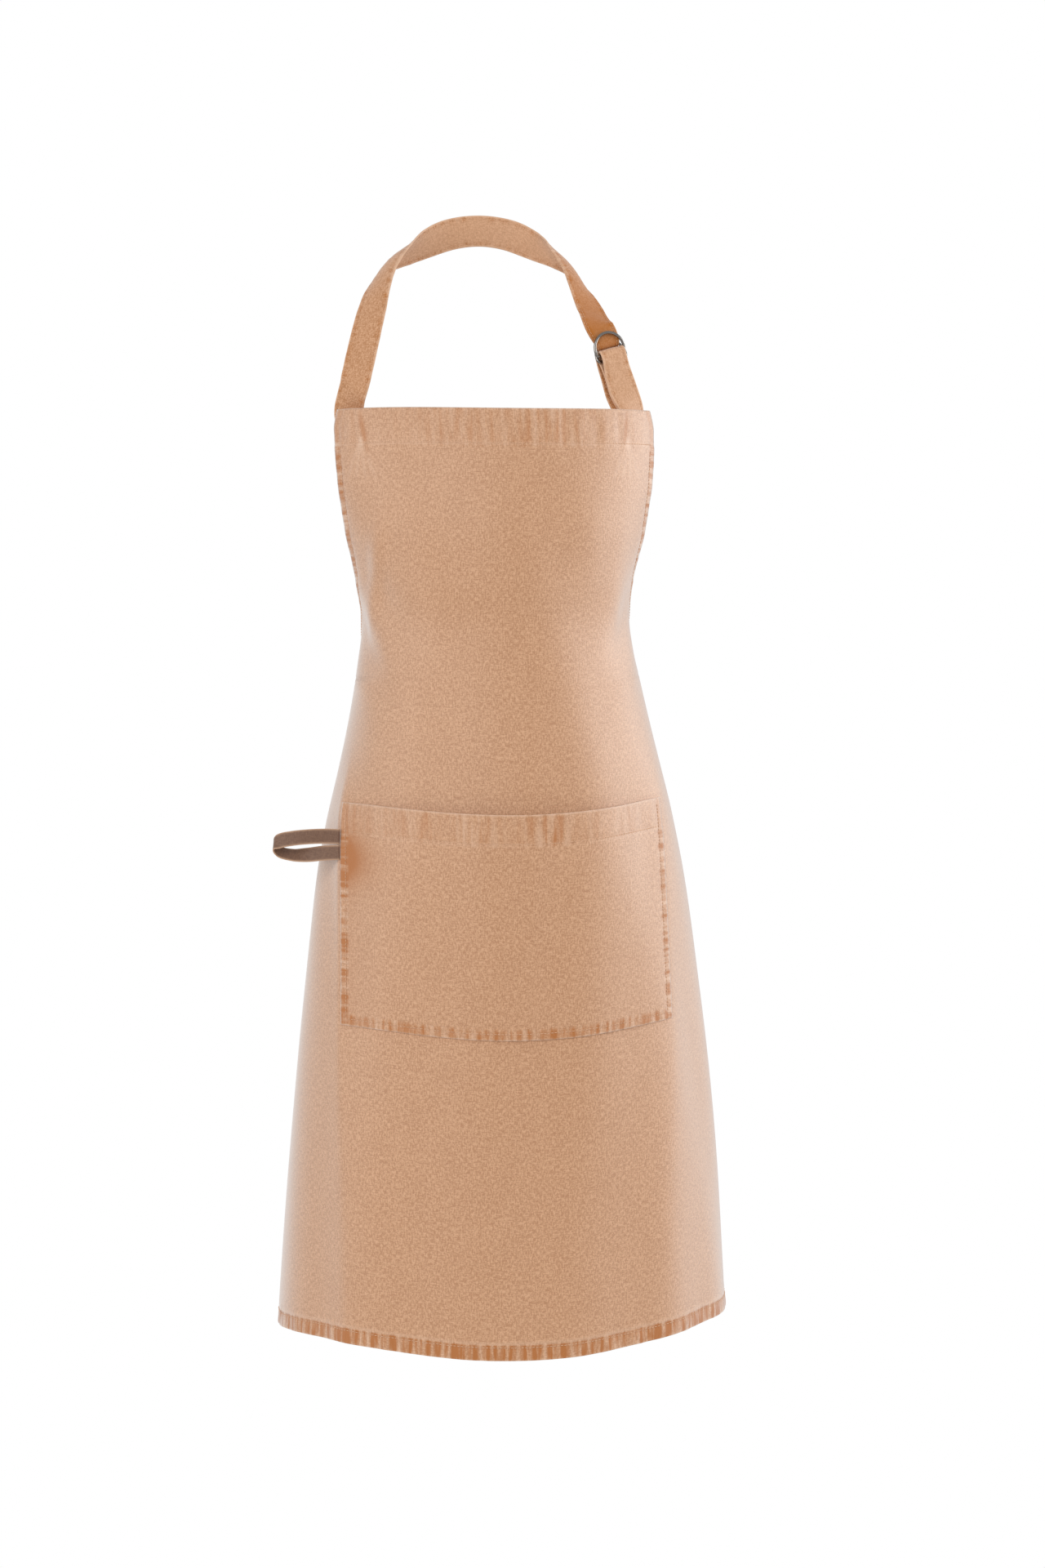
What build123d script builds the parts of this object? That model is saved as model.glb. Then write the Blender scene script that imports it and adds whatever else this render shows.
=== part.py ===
from build123d import *
import math
import os

# A bib apron worn on a body: millimetres, +Z up, front faces -Y.
# Origin: middle of the inner face of the neck strap, where it rests on the nape.

# ---------- driving dimensions ----------
CLOTH_T = 0.8            # washed cotton canvas, one layer
TAPE_T = 1.8             # strap and ties: the same canvas folded to four layers
SEAM_GAP = 0.1           # clear space left between layers that are sewn together
BIB_TOP_Z = -189.0       # top edge of the bib
BIB_HALF = 170.0         # half the flat width of the bib
ARMHOLE_Z = -340.0       # where the armhole curve leaves the straight bib edge
TIE_CORNER_Z = -450.0    # side corner the waist tie is sewn to
SKIRT_HALF = 340.0       # half the flat width of the skirt
HEM_Z = -1066.0          # bottom edge at the middle of the front
TOP_HEM = 36.0           # depth of the turned top hem
NARROW_HEM = 9.0         # armhole turning
SIDE_HEM = 12.0
BOTTOM_HEM = 15.0
POCKET_TOP_Z = -566.0
POCKET_BOTTOM_Z = -773.0
POCKET_LEFT = -169.0     # pocket sides, measured along the cloth from its middle
POCKET_RIGHT = 164.0
POCKET_HEM = 29.0
POCKET_TURNING = 9.0
STRAP_W = 30.0
TIE_W = 26.0
TIE_Z = -468.0           # middle of the waist tie at the back
LOOP_W = 14.0            # hanging loop, a flat woven tape
LOOP_T = 1.2
RING_WIRE = 2.8          # nickel plated steel wire of the D rings
RING_HALF = 15.4         # half the ring's width to the wire centre
RING_LEG = 3.8

# The body under the cloth, level by level: height, half width, half depth, front, middle.
BODY = [
    (-189, 172, 120, -150, 7), (-240, 168, 119, -160, 8), (-300, 152, 116, -166, 9),
    (-350, 134, 108, -165, 10), (-389, 127, 105, -162, 11), (-450, 136, 110, -164, 13),
    (-530, 152, 120, -170, 15), (-625, 171, 132, -176, 17), (-765, 189, 143, -181, 18),
    (-910, 204, 151, -184, 19), (-1066, 216, 158, -186, 20),
]


def blend(table, z):
    """Smooth values between the rows of a table ordered by falling height."""
    i = max(0, min(len(table) - 2, sum(1 for row in table if row[0] >= z) - 1))
    a, b = table[i], table[i + 1]
    before, after = table[max(0, i - 1)], table[min(len(table) - 1, i + 2)]
    t = (z - a[0]) / (b[0] - a[0])
    out = []
    for k in range(1, len(a)):
        ma = (b[k] - before[k]) / (b[0] - before[0]) * (b[0] - a[0])
        mb = (after[k] - a[k]) / (after[0] - a[0]) * (b[0] - a[0])
        out.append((2 * t**3 - 3 * t**2 + 1) * a[k] + (t**3 - 2 * t**2 + t) * ma
                   + (3 * t**2 - 2 * t**3) * b[k] + (t**3 - t**2) * mb)
    return out


ARC = {}


def turn_at(z, s):
    """Angle round the level's ellipse reached after walking the length s."""
    key = round(z, 3)
    if key not in ARC:
        a, b = blend(BODY, z)[:2]
        walk, step = [0.0], math.radians(1.0)
        for i in range(179):
            m = (i + 0.5) * step
            walk.append(walk[-1] + math.hypot(a * math.cos(m), b * math.sin(m)) * step)
        ARC[key] = walk
    walk, d = ARC[key], abs(s)
    i = max(k for k in range(len(walk) - 1) if walk[k] <= d)
    return math.copysign(math.radians(i + (d - walk[i]) / (walk[i + 1] - walk[i])), s)


def cloth(s, z, out=0.0):
    """Point on the draped cloth: s along the weft from the middle, z down the warp."""
    a, b, front, middle = blend(BODY, z)
    turn = turn_at(z, s)
    nx, ny = b * math.sin(turn), -a * math.cos(turn)
    n = math.hypot(nx, ny)
    ease = 0.32 + 0.68 * min(1.0, max(0.0, (-z - 250) / 330.0))
    lift = (22.0 + 8.0 * s / SKIRT_HALF) * ease * (1 - math.exp(-(s / 160.0) ** 2))
    return (middle + a * math.sin(turn) + out * nx / n,
            front + b * (1 - math.cos(turn)) + out * ny / n, z + lift)


def line_or_spline(points):
    return Line(*points).edge() if len(points) == 2 else Spline(*points).edge()


def layer(front, back):
    """Closed solid between two nets of points, one front and one back, row by row."""
    fe = [line_or_spline(row) for row in front]
    be = [line_or_spline(row) for row in back]
    faces = [Face.make_surface_from_curves(fe[0], be[0]),
             Face.make_surface_from_curves(fe[-1], be[-1])]
    for i in range(len(fe) - 1):
        faces.append(Face.make_surface_from_curves(fe[i], fe[i + 1]))
        faces.append(Face.make_surface_from_curves(be[i], be[i + 1]))
        for end in (0, -1):
            one = Line(front[i][end], back[i][end]).edge()
            two = Line(front[i + 1][end], back[i + 1][end]).edge()
            faces.append(Face.make_surface_from_curves(one, two))
    return Solid(Shell(faces))


def spread(a, b, count):
    return [a + (b - a) * i / (count - 1) for i in range(count)]


def patch(rows, inner, outer):
    """Cloth layer from rows of (s, z); inner and outer are heights off the drape."""
    return layer([[cloth(s, z, outer) for s, z in row] for row in rows],
                 [[cloth(s, z, inner) for s, z in row] for row in rows])


# ---------- flat pattern ----------
def half_width(z):
    """Half the flat width of the cloth at height z."""
    if z >= ARMHOLE_Z:
        return BIB_HALF - 4.0 * max(0.0, 1 - (BIB_TOP_Z - z) / 14.0)
    if z <= TIE_CORNER_Z:
        return SKIRT_HALF
    t = (ARMHOLE_Z - z) / (ARMHOLE_Z - TIE_CORNER_Z)
    return BIB_HALF + (SKIRT_HALF - BIB_HALF) * (1 - math.sqrt(1 - t * t))


ARM_STEPS = [ARMHOLE_Z - (ARMHOLE_Z - TIE_CORNER_Z) * math.sin(math.radians(3.75 * i))
             for i in range(25)]
HEM_SEWING = 3.0         # the stitch line's distance from the inner edge of a hem
LEVELS = sorted({BIB_TOP_Z, -203.0, BIB_TOP_Z - TOP_HEM + HEM_SEWING,
                 HEM_Z + BOTTOM_HEM - HEM_SEWING, POCKET_BOTTOM_Z + 6,
                 POCKET_TOP_Z - POCKET_HEM + 2, BIB_TOP_Z - TOP_HEM, -250.0, -280.0, -310.0,
                 *ARM_STEPS, -480.0, -520.0, POCKET_TOP_Z, POCKET_TOP_Z - POCKET_HEM,
                 -640.0, -685.0, -730.0, POCKET_BOTTOM_Z, -820.0, -870.0, -920.0, -970.0,
                 -1015.0, HEM_Z + BOTTOM_HEM, HEM_Z}, reverse=True)
BEHIND = -CLOTH_T / 2 - SEAM_GAP
AHEAD = CLOTH_T / 2 + SEAM_GAP

body_panel = patch([[(s, z) for s in spread(-half_width(z), half_width(z), 41)]
                    for z in LEVELS], -CLOTH_T / 2, CLOTH_T / 2)

parts = {"body_panel": body_panel}


# ---------- turned hems, each lying on the back of the panel ----------
def armhole_row(z, side):
    """Two points across the armhole turning, square to the cut edge."""
    t = (ARMHOLE_Z - z) / (ARMHOLE_Z - TIE_CORNER_Z)
    if t <= 0:
        n = (-1.0, 0.0)
    else:
        u = math.asin(min(1.0, t))
        nx = -(ARMHOLE_Z - TIE_CORNER_Z) * math.cos(u)
        nz = -(SKIRT_HALF - BIB_HALF) * math.sin(u)
        n = (nx / math.hypot(nx, nz), nz / math.hypot(nx, nz))
    w = half_width(z) - 0.2
    return [(side * w, z), (side * (w + NARROW_HEM * n[0]), z + NARROW_HEM * n[1])]


top = [z for z in LEVELS if z >= BIB_TOP_Z - TOP_HEM]
parts["bib_top_hem"] = patch(
    [[(s, z) for s in spread(-half_width(z) + 0.3, half_width(z) - 0.3, 25)]
     for z in [BIB_TOP_Z - 0.2] + top[1:]], BEHIND - CLOTH_T, BEHIND)
arm_levels = [z for z in LEVELS if TIE_CORNER_Z - 0.1 < z < BIB_TOP_Z - TOP_HEM - 1]
arm_levels = [BIB_TOP_Z - TOP_HEM - 0.4] + arm_levels[:-1]
side_levels = [TIE_CORNER_Z - 12.0] + [z for z in LEVELS if HEM_Z + BOTTOM_HEM < z < -470]
side_levels.append(HEM_Z + BOTTOM_HEM + 0.3)
for name, side in (("left", -1), ("right", 1)):
    parts["armhole_hem_" + name] = patch([armhole_row(z, side) for z in arm_levels],
                                         BEHIND - CLOTH_T, BEHIND)
    rows = [[(side * (SKIRT_HALF - 0.2), z), (side * (SKIRT_HALF - SIDE_HEM), z)]
            for z in side_levels]
    parts["side_hem_" + name] = patch(rows, BEHIND - CLOTH_T, BEHIND)
parts["bottom_hem"] = patch(
    [[(s, z) for s in spread(-SKIRT_HALF + 0.2, SKIRT_HALF - 0.2, 41)]
     for z in (HEM_Z + BOTTOM_HEM, HEM_Z + 0.2)], BEHIND - CLOTH_T, BEHIND)

# ---------- patch pocket, its mouth standing a little open ----------
POCKET_OUT = AHEAD + CLOTH_T + SEAM_GAP
pocket_levels = [z for z in LEVELS if POCKET_BOTTOM_Z <= z <= POCKET_TOP_Z]


def pocket_gape(s, z):
    """Extra stand-off of the pocket cloth, largest at the middle of the mouth."""
    u = (s - POCKET_LEFT) / (POCKET_RIGHT - POCKET_LEFT)
    v = (z - POCKET_BOTTOM_Z) / (POCKET_TOP_Z - POCKET_BOTTOM_Z)
    return 12.0 * math.sin(math.pi * min(1, max(0, u))) ** 1.5 * min(1, max(0, v)) ** 1.3


def pocket_layer(s0, s1, levels, inner, outer, count=25):
    cols = spread(s0, s1, count)
    return layer([[cloth(s, z, outer + pocket_gape(s, z)) for s in cols] for z in levels],
                 [[cloth(s, z, inner + pocket_gape(s, z)) for s in cols] for z in levels])


parts["pocket_panel"] = pocket_layer(POCKET_LEFT, POCKET_RIGHT, pocket_levels,
                                     POCKET_OUT, POCKET_OUT + CLOTH_T)
hem_levels = [POCKET_TOP_Z - 0.2, POCKET_TOP_Z - POCKET_HEM]
parts["pocket_top_hem"] = pocket_layer(
    POCKET_LEFT + 0.2, POCKET_RIGHT - 0.2, hem_levels, POCKET_OUT - SEAM_GAP - CLOTH_T,
    POCKET_OUT - SEAM_GAP)
turn_levels = [POCKET_TOP_Z - POCKET_HEM - 0.4] + [z for z in pocket_levels
                                                   if -735 < z < -600]
turn_levels.append(POCKET_BOTTOM_Z + POCKET_TURNING + 0.3)
for name, s0, s1 in (("left", POCKET_LEFT + 0.2, POCKET_LEFT + POCKET_TURNING),
                     ("right", POCKET_RIGHT - POCKET_TURNING, POCKET_RIGHT - 0.2)):
    parts["pocket_turning_" + name] = pocket_layer(
        s0, s1, turn_levels, AHEAD, POCKET_OUT - SEAM_GAP, 2)
parts["pocket_turning_bottom"] = pocket_layer(
    POCKET_LEFT + 0.2, POCKET_RIGHT - 0.2,
    [POCKET_BOTTOM_Z + POCKET_TURNING, POCKET_BOTTOM_Z + 0.2], AHEAD,
    POCKET_OUT - SEAM_GAP)


# ---------- straps: a flat tape along a path, twisting as it goes ----------
def unit(v):
    n = math.sqrt(sum(c * c for c in v))
    return tuple(c / n for c in v)


def cross(a, b):
    return (a[1] * b[2] - a[2] * b[1], a[2] * b[0] - a[0] * b[2], a[0] * b[1] - a[1] * b[0])


def tape(path, faces, width, thick, lift=0.0):
    """Tape through the path points; faces gives the outward direction at each one."""
    rows = [[], [], [], []]
    widths = width if isinstance(width, list) else [width] * len(path)
    for i, (p, n) in enumerate(zip(path, faces)):
        q, r = path[max(0, i - 1)], path[min(len(path) - 1, i + 1)]
        t = unit([b - a for a, b in zip(q, r)])
        w = unit(cross(t, n))
        n = unit(cross(w, t))
        for k, (side, out) in enumerate(((-1, 1), (1, 1), (-1, 0), (1, 0))):
            rows[k].append(tuple(p[j] + side * widths[i] / 2 * w[j] + (lift + out * thick) * n[j]
                                 for j in range(3)))
    return layer(rows[:2], rows[2:])


# Neck strap: the middle of its inner face, and the way its outer face looks.
STRAP_LEFT, STRAP_RIGHT = -149.0, 139.0      # where the ends are sewn, along the bib
NAPE = [
    ((-124.0, -104.5, -159.6), (-0.36, -0.92, 0.18)),
    ((-116.5, -98.0, -126.5), (-0.34, -0.90, 0.28)),
    ((-108.3, -88.0, -92.7), (-0.42, -0.82, 0.38)),
    ((-101.2, -74.0, -69.0), (-0.58, -0.62, 0.50)),
    ((-94.8, -62.0, -55.5), (-0.68, -0.42, 0.55)),
    ((-79.8, -45.0, -38.0), (-0.75, 0.00, 0.62)),
    ((-64.4, -24.0, -24.4), (-0.72, 0.45, 0.52)),
    ((-50.5, -11.0, -14.6), (-0.55, 0.75, 0.35)),
    ((-27.7, -2.5, -4.1), (-0.25, 0.95, 0.15)),
    ((0.0, 0.0, 0.0), (0.0, 1.0, 0.10)),
    ((27.5, -2.5, -4.1), (0.25, 0.95, 0.15)),
    ((48.8, -11.0, -14.6), (0.55, 0.75, 0.35)),
    ((62.2, -24.0, -24.4), (0.72, 0.45, 0.52)),
    ((72.8, -44.0, -38.0), (0.75, 0.00, 0.62)),
    ((84.2, -62.0, -55.5), (0.70, -0.38, 0.52)),
    ((90.7, -74.0, -69.0), (0.58, -0.62, 0.48)),
    ((99.0, -86.0, -89.0), (0.42, -0.84, 0.36)),
]


def seat(s, z, out):
    """Point and facing of a tape end lying on the back of the bib."""
    p, q = cloth(s, z, out), cloth(s, z, out + 1.0)
    return p, tuple(b - a for a, b in zip(p, q))


END_OUT = -(1.4 + 1.4 + TAPE_T)
neck_path = [seat(STRAP_LEFT, z, END_OUT) for z in (-222.0, -206.0, -190.0)] + NAPE

# Ring corner: t runs up the ring strap, n points out to the front, w runs across.
RING_AT = (117.5, -103.5, -133.5)
seam_right = seat(STRAP_RIGHT, BIB_TOP_Z, END_OUT)[0]
RING_T = unit([a - b for a, b in zip(RING_AT, seam_right)])
RING_W = unit(cross(RING_T, (0.30, -0.94, 0.16)))
RING_N = unit(cross(RING_W, RING_T))


def ring_point(t, n, w=0.0):
    return tuple(RING_AT[j] + t * RING_T[j] + n * RING_N[j] + w * RING_W[j]
                 for j in range(3))


def ring_facing(dt, dn):
    return tuple(dt * RING_T[j] + dn * RING_N[j] for j in range(3))


# Ring strap: folded over both bars, its two ends sewn behind the top hem.
def back_seat(s, z, out):
    p, n = seat(s, z, out)
    return p, tuple(-c for c in n)


fold = [(-34, 0.1, 0, 1), (-20, 0.2, 0, 1), (-12, 1.2, 0, 1), (-5, 3.0, 0, 1),
        (3.6, 3.2, 0, 1), (4.9, 2.7, 0.7, 0.7), (5.4, 1.5, 1, 0), (4.8, 0.2, 0.8, -0.6),
        (3.0, -1.6, 0.6, -0.8), (0.0, -2.9, 0.2, -1), (-4.5, -3.3, 0, -1),
        (-9, -2.3, 0, -1), (-16, -0.6, 0, -1), (-24, -0.2, 0, -1), (-34, -0.1, 0, -1)]
ring_path = [seat(STRAP_RIGHT, z, END_OUT) for z in (-222.0, -206.0, -191.0)]
ring_path += [(ring_point(t, n), ring_facing(dt, dn)) for t, n, dt, dn in fold]
ring_path += [back_seat(STRAP_RIGHT, z, END_OUT - 0.2) for z in (-191.0, -206.0, -222.0)]
ring_width = [STRAP_W] * 3 + [29.0, 27.5, 26.0] + [24.8] * 9 + [26.0, 27.5, 29.0] + [STRAP_W] * 3
parts["ring_strap"] = tape([p for p, n in ring_path], [n for p, n in ring_path],
                           ring_width, TAPE_T)

# Neck strap: up round the nape, down behind the front ring and in front of the back ring's
# arc, through the back ring and down behind the fold; the loose tail hangs behind the bib.
threading = [(27, -1.4, -2.2), (20, -0.9, -0.9), (15.5, -1.0, -0.2), (12.2, -1.4, -0.2),
             (10.4, -2.9, -0.2), (9.6, -5.4, -0.2), (8.4, -8.0, -0.2), (4.5, -9.6, -0.3),
             (-3, -9.6, -0.6), (-11, -8.0, -1.2), (-20, -5.6, -2.0), (-34, -5.0, -2.8)]
facings = [(0.05, 1), (0, 1), (0, 1), (-0.3, 0.95), (-0.8, 0.6), (-0.95, 0.3), (-0.7, 0.7),
           (-0.2, 1), (0, 1), (0.15, 1), (0.1, 1), (0, 1)]
neck_path += [(ring_point(t, n, w), ring_facing(*f)) for (t, n, w), f in zip(threading, facings)]
neck_path += [seat(STRAP_RIGHT - 3.5, z, END_OUT - 4.5)
              for z in (-195.0, -215.0, -240.0, -270.0, -298.0)]
neck_width = [STRAP_W] * (3 + len(NAPE)) + [27.5, 25.0, 22.5, 20.0, 18.6, 18.6, 20.5,
                                            23.0, 24.8, 26, 28, 29.5]
neck_width += [STRAP_W] * 5
parts["neck_strap"] = tape([p for p, n in neck_path], [n for p, n in neck_path],
                           neck_width, TAPE_T)


def d_ring(t, n, w, lean, roll):
    """D ring of round wire: straight bar, two short legs and a half circle."""
    h, r = RING_HALF, 2.2
    outline = Wire([
        Line((-h + r, 0), (h - r, 0)).edge(),
        RadiusArc((h - r, 0), (h, r), -r).edge(),
        Line((h, r), (h, RING_LEG)).edge(),
        ThreePointArc((h, RING_LEG), (0, RING_LEG + h), (-h, RING_LEG)).edge(),
        Line((-h, RING_LEG), (-h, r)).edge(),
        RadiusArc((-h, r), (-h + r, 0), -r).edge(),
    ])
    ring = sweep(Plane.YZ * Circle(RING_WIRE / 2), path=outline)
    place = Plane(origin=ring_point(t, n, w), x_dir=RING_W, z_dir=RING_N)
    return place.location * Location((0, 0, 0), (lean, 0, roll)) * ring


parts["d_ring_front"] = d_ring(3.0, 1.5, -0.6, 5.5, 3.0)
parts["d_ring_back"] = d_ring(-3.0, -1.5, 0.4, -8.0, -1.5)

# ---------- hanging loop: flat tape sewn into the pocket's left seam ----------
LOOP_AT = cloth(POCKET_LEFT, -606.0, 1.6)
LOOP_U = unit((-0.995, 0.10, 0.0))
LOOP_N = unit((-0.10, -0.995, 0.0))


def loop_point(u, v, n):
    return tuple(LOOP_AT[j] + u * LOOP_U[j] + n * LOOP_N[j] + (v if j == 2 else 0.0)
                 for j in range(3))


loop_run = [(0.6, 7.4, 0.0, 0, 1), (14, 7.8, 0.8, 0, 1), (30, 6.8, 2.6, -0.05, 1),
            (45, 4.8, 3.8, 0, 1), (56, 2.2, 3.2, 0.4, 0.9), (61, -1.0, 0.0, 1, 0),
            (57, -4.6, -3.2, 0.4, -0.9), (46, -8.2, -3.8, 0, -1), (32, -9.0, -2.6, 0, -1),
            (16, -7.9, -0.6, 0, -1), (0.6, -7.4, 1.2, 0, -1)]
parts["hanging_loop"] = tape(
    [loop_point(u, v, n) for u, v, n, a, b in loop_run],
    [tuple(a * LOOP_U[j] + b * LOOP_N[j] for j in range(3)) for u, v, n, a, b in loop_run],
    LOOP_W, LOOP_T)

# ---------- waist ties, brought round the back and tied in a bow ----------
KNOT = (13.0, 66.0, TIE_Z)


def at_knot(side, rows):
    """Tape rows (x, y, z, nx, ny) given from the knot, mirrored to one side."""
    path = [(KNOT[0] + side * x, KNOT[1] + y, KNOT[2] + z) for x, y, z, nx, ny in rows]
    return path, [(side * nx, ny, 0.0) for x, y, z, nx, ny in rows]


def bow_half(side, start):
    """Run from the side seam, one bow loop and one tail, all of one tie."""
    edge = side * SKIRT_HALF
    sewn = [seat(edge - side * d, TIE_Z + 2, -4.6) for d in (20.0, 11.0, 2.0)]
    run_path, run_face = at_knot(side, [(34.0, -7.0, 0.0, 0.1, 1), (22.0, -3.4, 0.0, 0.1, 1),
                                        (start, -1.6, 0.0, 0.1, 1)])
    sewn_face = [tuple(-c for c in n) for p, n in sewn]
    run = tape([p for p, n in sewn] + run_path, sewn_face + run_face, TIE_W, TAPE_T)
    loop = tape(*at_knot(side, [
        (start, 1.2, 0, 0, 1), (32, 7, -2, -0.2, 1), (62, 11, -9, 0, 1), (88, 8, -17, 0.4, 0.9),
        (97, 1, -21, 1, 0), (88, -5, -19, 0.4, -0.9), (62, -6, -12, 0, -1),
        (32, -3, -4, 0.1, -1), (start, -0.6, 0, 0, -1)]), TIE_W, TAPE_T)
    tail = tape(*at_knot(side, [
        (25.5, 2.5, 4, 0, 1), (26.5, 6, -22, 0, 1), (30, 8, -80, 0, 1), (34, 8, -160, 0, 1),
        (37, 7, -250, 0, 1), (39, 6, -335, 0, 1)]), TIE_W, TAPE_T)
    return run + loop + tail


knot_block = fillet(Box(22, 14, 27).edges(), 3.0)
slot = Pos(2.6, 0, 0) * Box(17.0, 7.0, 19.6)
band = Pos(5.0, 0, 0) * Box(21.0, 6.3, 18.8)
parts["waist_tie_left"] = bow_half(-1, 9.5) + Pos(*KNOT) * (knot_block - slot)
parts["waist_tie_right"] = bow_half(1, 14.0) + Pos(*KNOT) * band


# ---------- sewing thread, lying on the outside of the cloth ----------
THREAD = 0.6
ON_PANEL = CLOTH_T / 2 + 0.02
ON_POCKET = POCKET_OUT + CLOTH_T + 0.02


def thread_across(s0, s1, z, base, gape=False, count=41):
    """Thread along one level of the cloth."""
    def net(out):
        return [[cloth(s, z + d, out + (pocket_gape(s, z + d) if gape else 0.0))
                 for s in spread(s0, s1, count)] for d in (THREAD / 2, -THREAD / 2)]
    return layer(net(base + 0.35), net(base))


def thread_down(s, levels, base, gape=False):
    """Thread down the warp at the distance s from the middle."""
    def net(out):
        return [[cloth(s + d, z, out + (pocket_gape(s + d, z) if gape else 0.0))
                 for d in (-THREAD / 2, THREAD / 2)] for z in levels]
    return layer(net(base + 0.35), net(base))


parts["thread_top_hem"] = thread_across(-BIB_HALF + 4, BIB_HALF - 4,
                                        BIB_TOP_Z - TOP_HEM + HEM_SEWING, ON_PANEL)
parts["thread_bottom_hem"] = thread_across(-SKIRT_HALF + 3, SKIRT_HALF - 3,
                                           HEM_Z + BOTTOM_HEM - HEM_SEWING, ON_PANEL)
parts["thread_pocket_hem"] = thread_across(POCKET_LEFT + 8, POCKET_RIGHT - 8,
                                           POCKET_TOP_Z - POCKET_HEM + 2, ON_POCKET, True, 25)
parts["thread_pocket_bottom"] = thread_across(POCKET_LEFT + 6.8, POCKET_RIGHT - 6.8,
                                              POCKET_BOTTOM_Z + 6, ON_POCKET, True, 25)
pocket_run = [z for z in pocket_levels if z < -570.0 and z > -770.0]
parts["thread_pocket_left"] = thread_down(POCKET_LEFT + 6, pocket_run, ON_POCKET, True)
parts["thread_pocket_right"] = thread_down(POCKET_RIGHT - 6, pocket_run, ON_POCKET, True)
for name, side in (("left", -1), ("right", 1)):
    net = []
    for z in arm_levels:
        (s0, z0), (s1, z1) = armhole_row(z, side)
        net.append([(s0 + (s1 - s0) * k, z0 + (z1 - z0) * k) for k in (0.74, 0.81)])
    parts["thread_armhole_" + name] = patch(net, ON_PANEL + 0.15, ON_PANEL + 0.5)
    parts["thread_side_" + name] = thread_down(side * (SKIRT_HALF - SIDE_HEM + 3),
                                               side_levels, ON_PANEL)

# ---------- write one file per piece ----------
os.makedirs("parts", exist_ok=True)
for name, solid in parts.items():
    export_step(solid, os.path.join("parts", name + ".step"))
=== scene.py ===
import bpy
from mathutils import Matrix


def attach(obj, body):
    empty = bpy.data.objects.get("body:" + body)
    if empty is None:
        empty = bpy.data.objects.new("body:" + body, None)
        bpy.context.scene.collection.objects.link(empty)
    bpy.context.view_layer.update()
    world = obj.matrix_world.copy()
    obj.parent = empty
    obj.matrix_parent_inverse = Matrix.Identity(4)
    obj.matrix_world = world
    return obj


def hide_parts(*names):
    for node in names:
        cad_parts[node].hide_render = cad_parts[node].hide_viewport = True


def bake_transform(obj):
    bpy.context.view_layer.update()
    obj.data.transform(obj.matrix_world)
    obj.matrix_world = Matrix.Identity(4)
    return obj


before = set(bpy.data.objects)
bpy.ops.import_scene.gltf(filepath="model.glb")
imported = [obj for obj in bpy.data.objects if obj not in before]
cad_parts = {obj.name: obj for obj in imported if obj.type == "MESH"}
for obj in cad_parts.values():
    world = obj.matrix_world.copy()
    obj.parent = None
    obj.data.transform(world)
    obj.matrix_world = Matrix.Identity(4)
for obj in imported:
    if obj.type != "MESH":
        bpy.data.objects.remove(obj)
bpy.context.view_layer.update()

import math

import bpy
import numpy as np

# ---- Body panel ------------------------------------------------------------------------
# One piece of washed, heathered cotton canvas: narrow bib, curved armholes, wide skirt.
# It hangs round a body, so each level is a stretch of ellipse; it is pressed into two soft
# creases down the lines of the pocket's sides, and puckers where its hems are sewn.
# Millimetres throughout: half widths, heights down from the nape, the canvas's thickness.
BIB_HALF, SKIRT_HALF = 170.0, 340.0
BIB_TOP, ARMHOLE, CORNER, HEM = -189.0, -340.0, -450.0, -1066.0
CLOTH = 0.8
CORNER_TUCK, TUCK_DEEP = 6.5, 20.0
# Each hem's depth, and how far in from the edge its row of stitches runs.
TOP_HEM, TOP_SEAM = 36.0, 33.0
LOW_HEM, LOW_SEAM = 15.0, 12.0
# Height, the level's ellipse (half width, half depth), its foremost y and its middle x.
BODY = np.array([
    (-189, 172, 120, -150, 7), (-240, 168, 119, -160, 8), (-300, 152, 116, -166, 9),
    (-350, 134, 108, -165, 10), (-389, 127, 105, -162, 11), (-450, 136, 110, -164, 13),
    (-530, 152, 120, -170, 15), (-625, 171, 132, -176, 17), (-765, 189, 143, -181, 18),
    (-910, 204, 151, -184, 19), (-1066, 216, 158, -186, 20)], float)


def smooth_rows(knots, values, at):
    """Cubic Hermite curve through values at knots: slopes are the neighbours' difference."""
    knots, values, at = np.asarray(knots, float), np.asarray(values, float), np.asarray(at, float)
    slopes = np.gradient(values, knots, axis=0)
    i = np.clip(np.searchsorted(knots, at, side="right") - 1, 0, len(knots) - 2)
    h = knots[i + 1] - knots[i]
    t = np.clip((at - knots[i]) / h, -0.2, 1.2)
    if values.ndim > 1:
        h, t = h[..., None], t[..., None]
    return ((2 * t**3 - 3 * t**2 + 1) * values[i] + (t**3 - 2 * t**2 + t) * h * slopes[i]
            + (3 * t**2 - 2 * t**3) * values[i + 1] + (t**3 - t**2) * h * slopes[i + 1])


LEVELS = np.linspace(-1090.0, -170.0, 240)
SHAPE = smooth_rows(BODY[::-1, 0], BODY[::-1, 1:], LEVELS)
REACH = np.arange(0.0, 361.0)  # arc lengths at which each level's ellipse angle is kept
angle = np.radians(np.arange(0.0, 179.5, 0.5))
TURN = np.array([np.interp(REACH, np.concatenate([[0.0], np.cumsum(
    np.hypot(a * np.cos(angle[1:] - 0.0044), b * np.sin(angle[1:] - 0.0044)) * math.radians(0.5))]),
    angle) for a, b in SHAPE[:, :2]])


def ripple(u, pitch, seed):
    """Smooth random wave of unit height: u in mm, a new crest about every pitch mm."""
    rng = np.random.default_rng(seed)
    knots = np.arange(-60, 61)
    return smooth_rows(knots, rng.uniform(-1, 1, len(knots)), np.clip(u / pitch, -59, 59))


def bell(x, width):
    """exp(-(x / width)^2)"""
    return np.exp(-(x / width) ** 2)


def step(x, a, b):
    """0 before a, 1 after b, smooth between."""
    t = np.clip((x - a) / (b - a), 0, 1)
    return t * t * (3 - 2 * t)


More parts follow.
